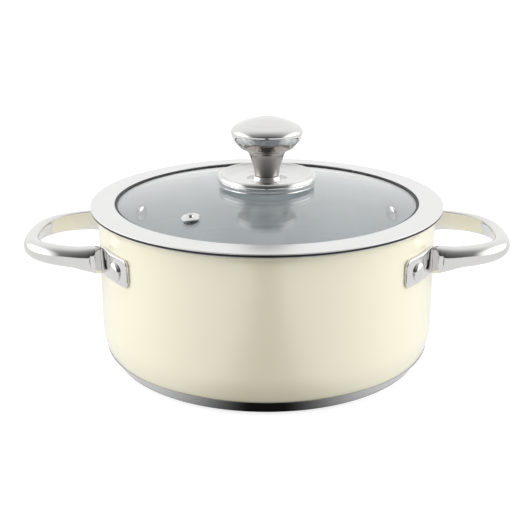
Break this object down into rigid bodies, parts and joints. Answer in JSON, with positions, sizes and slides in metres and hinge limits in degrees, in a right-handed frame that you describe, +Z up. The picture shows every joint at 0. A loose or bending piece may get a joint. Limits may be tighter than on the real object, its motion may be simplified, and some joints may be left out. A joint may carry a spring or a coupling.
{
  "type": "casserole pot with glass lid",
  "caption": "Straight-sided enamelled casserole with two riveted steel loop handles, a bonded steel base and a domed glass lid with a steel rim, knob and steam vent.",
  "frame": {"origin": "centre of the flat underside of the base, on the surface that the pot stands on", "axes": "+Z up along the axis of the vessel and the lid, +X through the middle of the right handle"},
  "size_m": [0.3506, 0.252, 0.1745],
  "materials": {
    "enamel": "glossy cream enamel outside, brushed steel inside",
    "polished_steel": "mirror-polished stainless steel",
    "satin_steel": "satin stainless steel",
    "dark_steel": "polished stainless steel base that mirrors dark surroundings",
    "aluminium": "plain aluminium plate",
    "glass": "clear tempered glass, glossy",
    "silicone": "dark grey food-grade silicone, satin"
  },
  "bodies": {
    "pot": {"vessel": "enamel", "base_core": "aluminium", "base_cap": "dark_steel", "handle_left": "polished_steel", "handle_right": "polished_steel", "rivet_left_front": "polished_steel", "rivet_left_back": "polished_steel", "rivet_right_front": "polished_steel", "rivet_right_back": "polished_steel"},
    "lid": {"lid_glass": "glass", "lid_rim": "polished_steel", "rim_seal": "silicone", "rim_gasket": "silicone", "vent_eyelet": "polished_steel", "vent_gasket": "silicone", "vent_washer": "satin_steel", "knob_plate": "polished_steel", "knob_stem": "polished_steel", "knob_cup": "polished_steel", "knob_cap": "polished_steel", "knob_screw": "satin_steel", "knob_washer": "satin_steel", "knob_under_gasket": "silicone", "knob_plate_gasket": "silicone"}
  },
  "joints": [
    {"name": "lid_lift", "type": "slide", "parent": "pot", "child": "lid", "axis": [0, 0, 1], "range_m": [0, 0.2]}
  ]
}
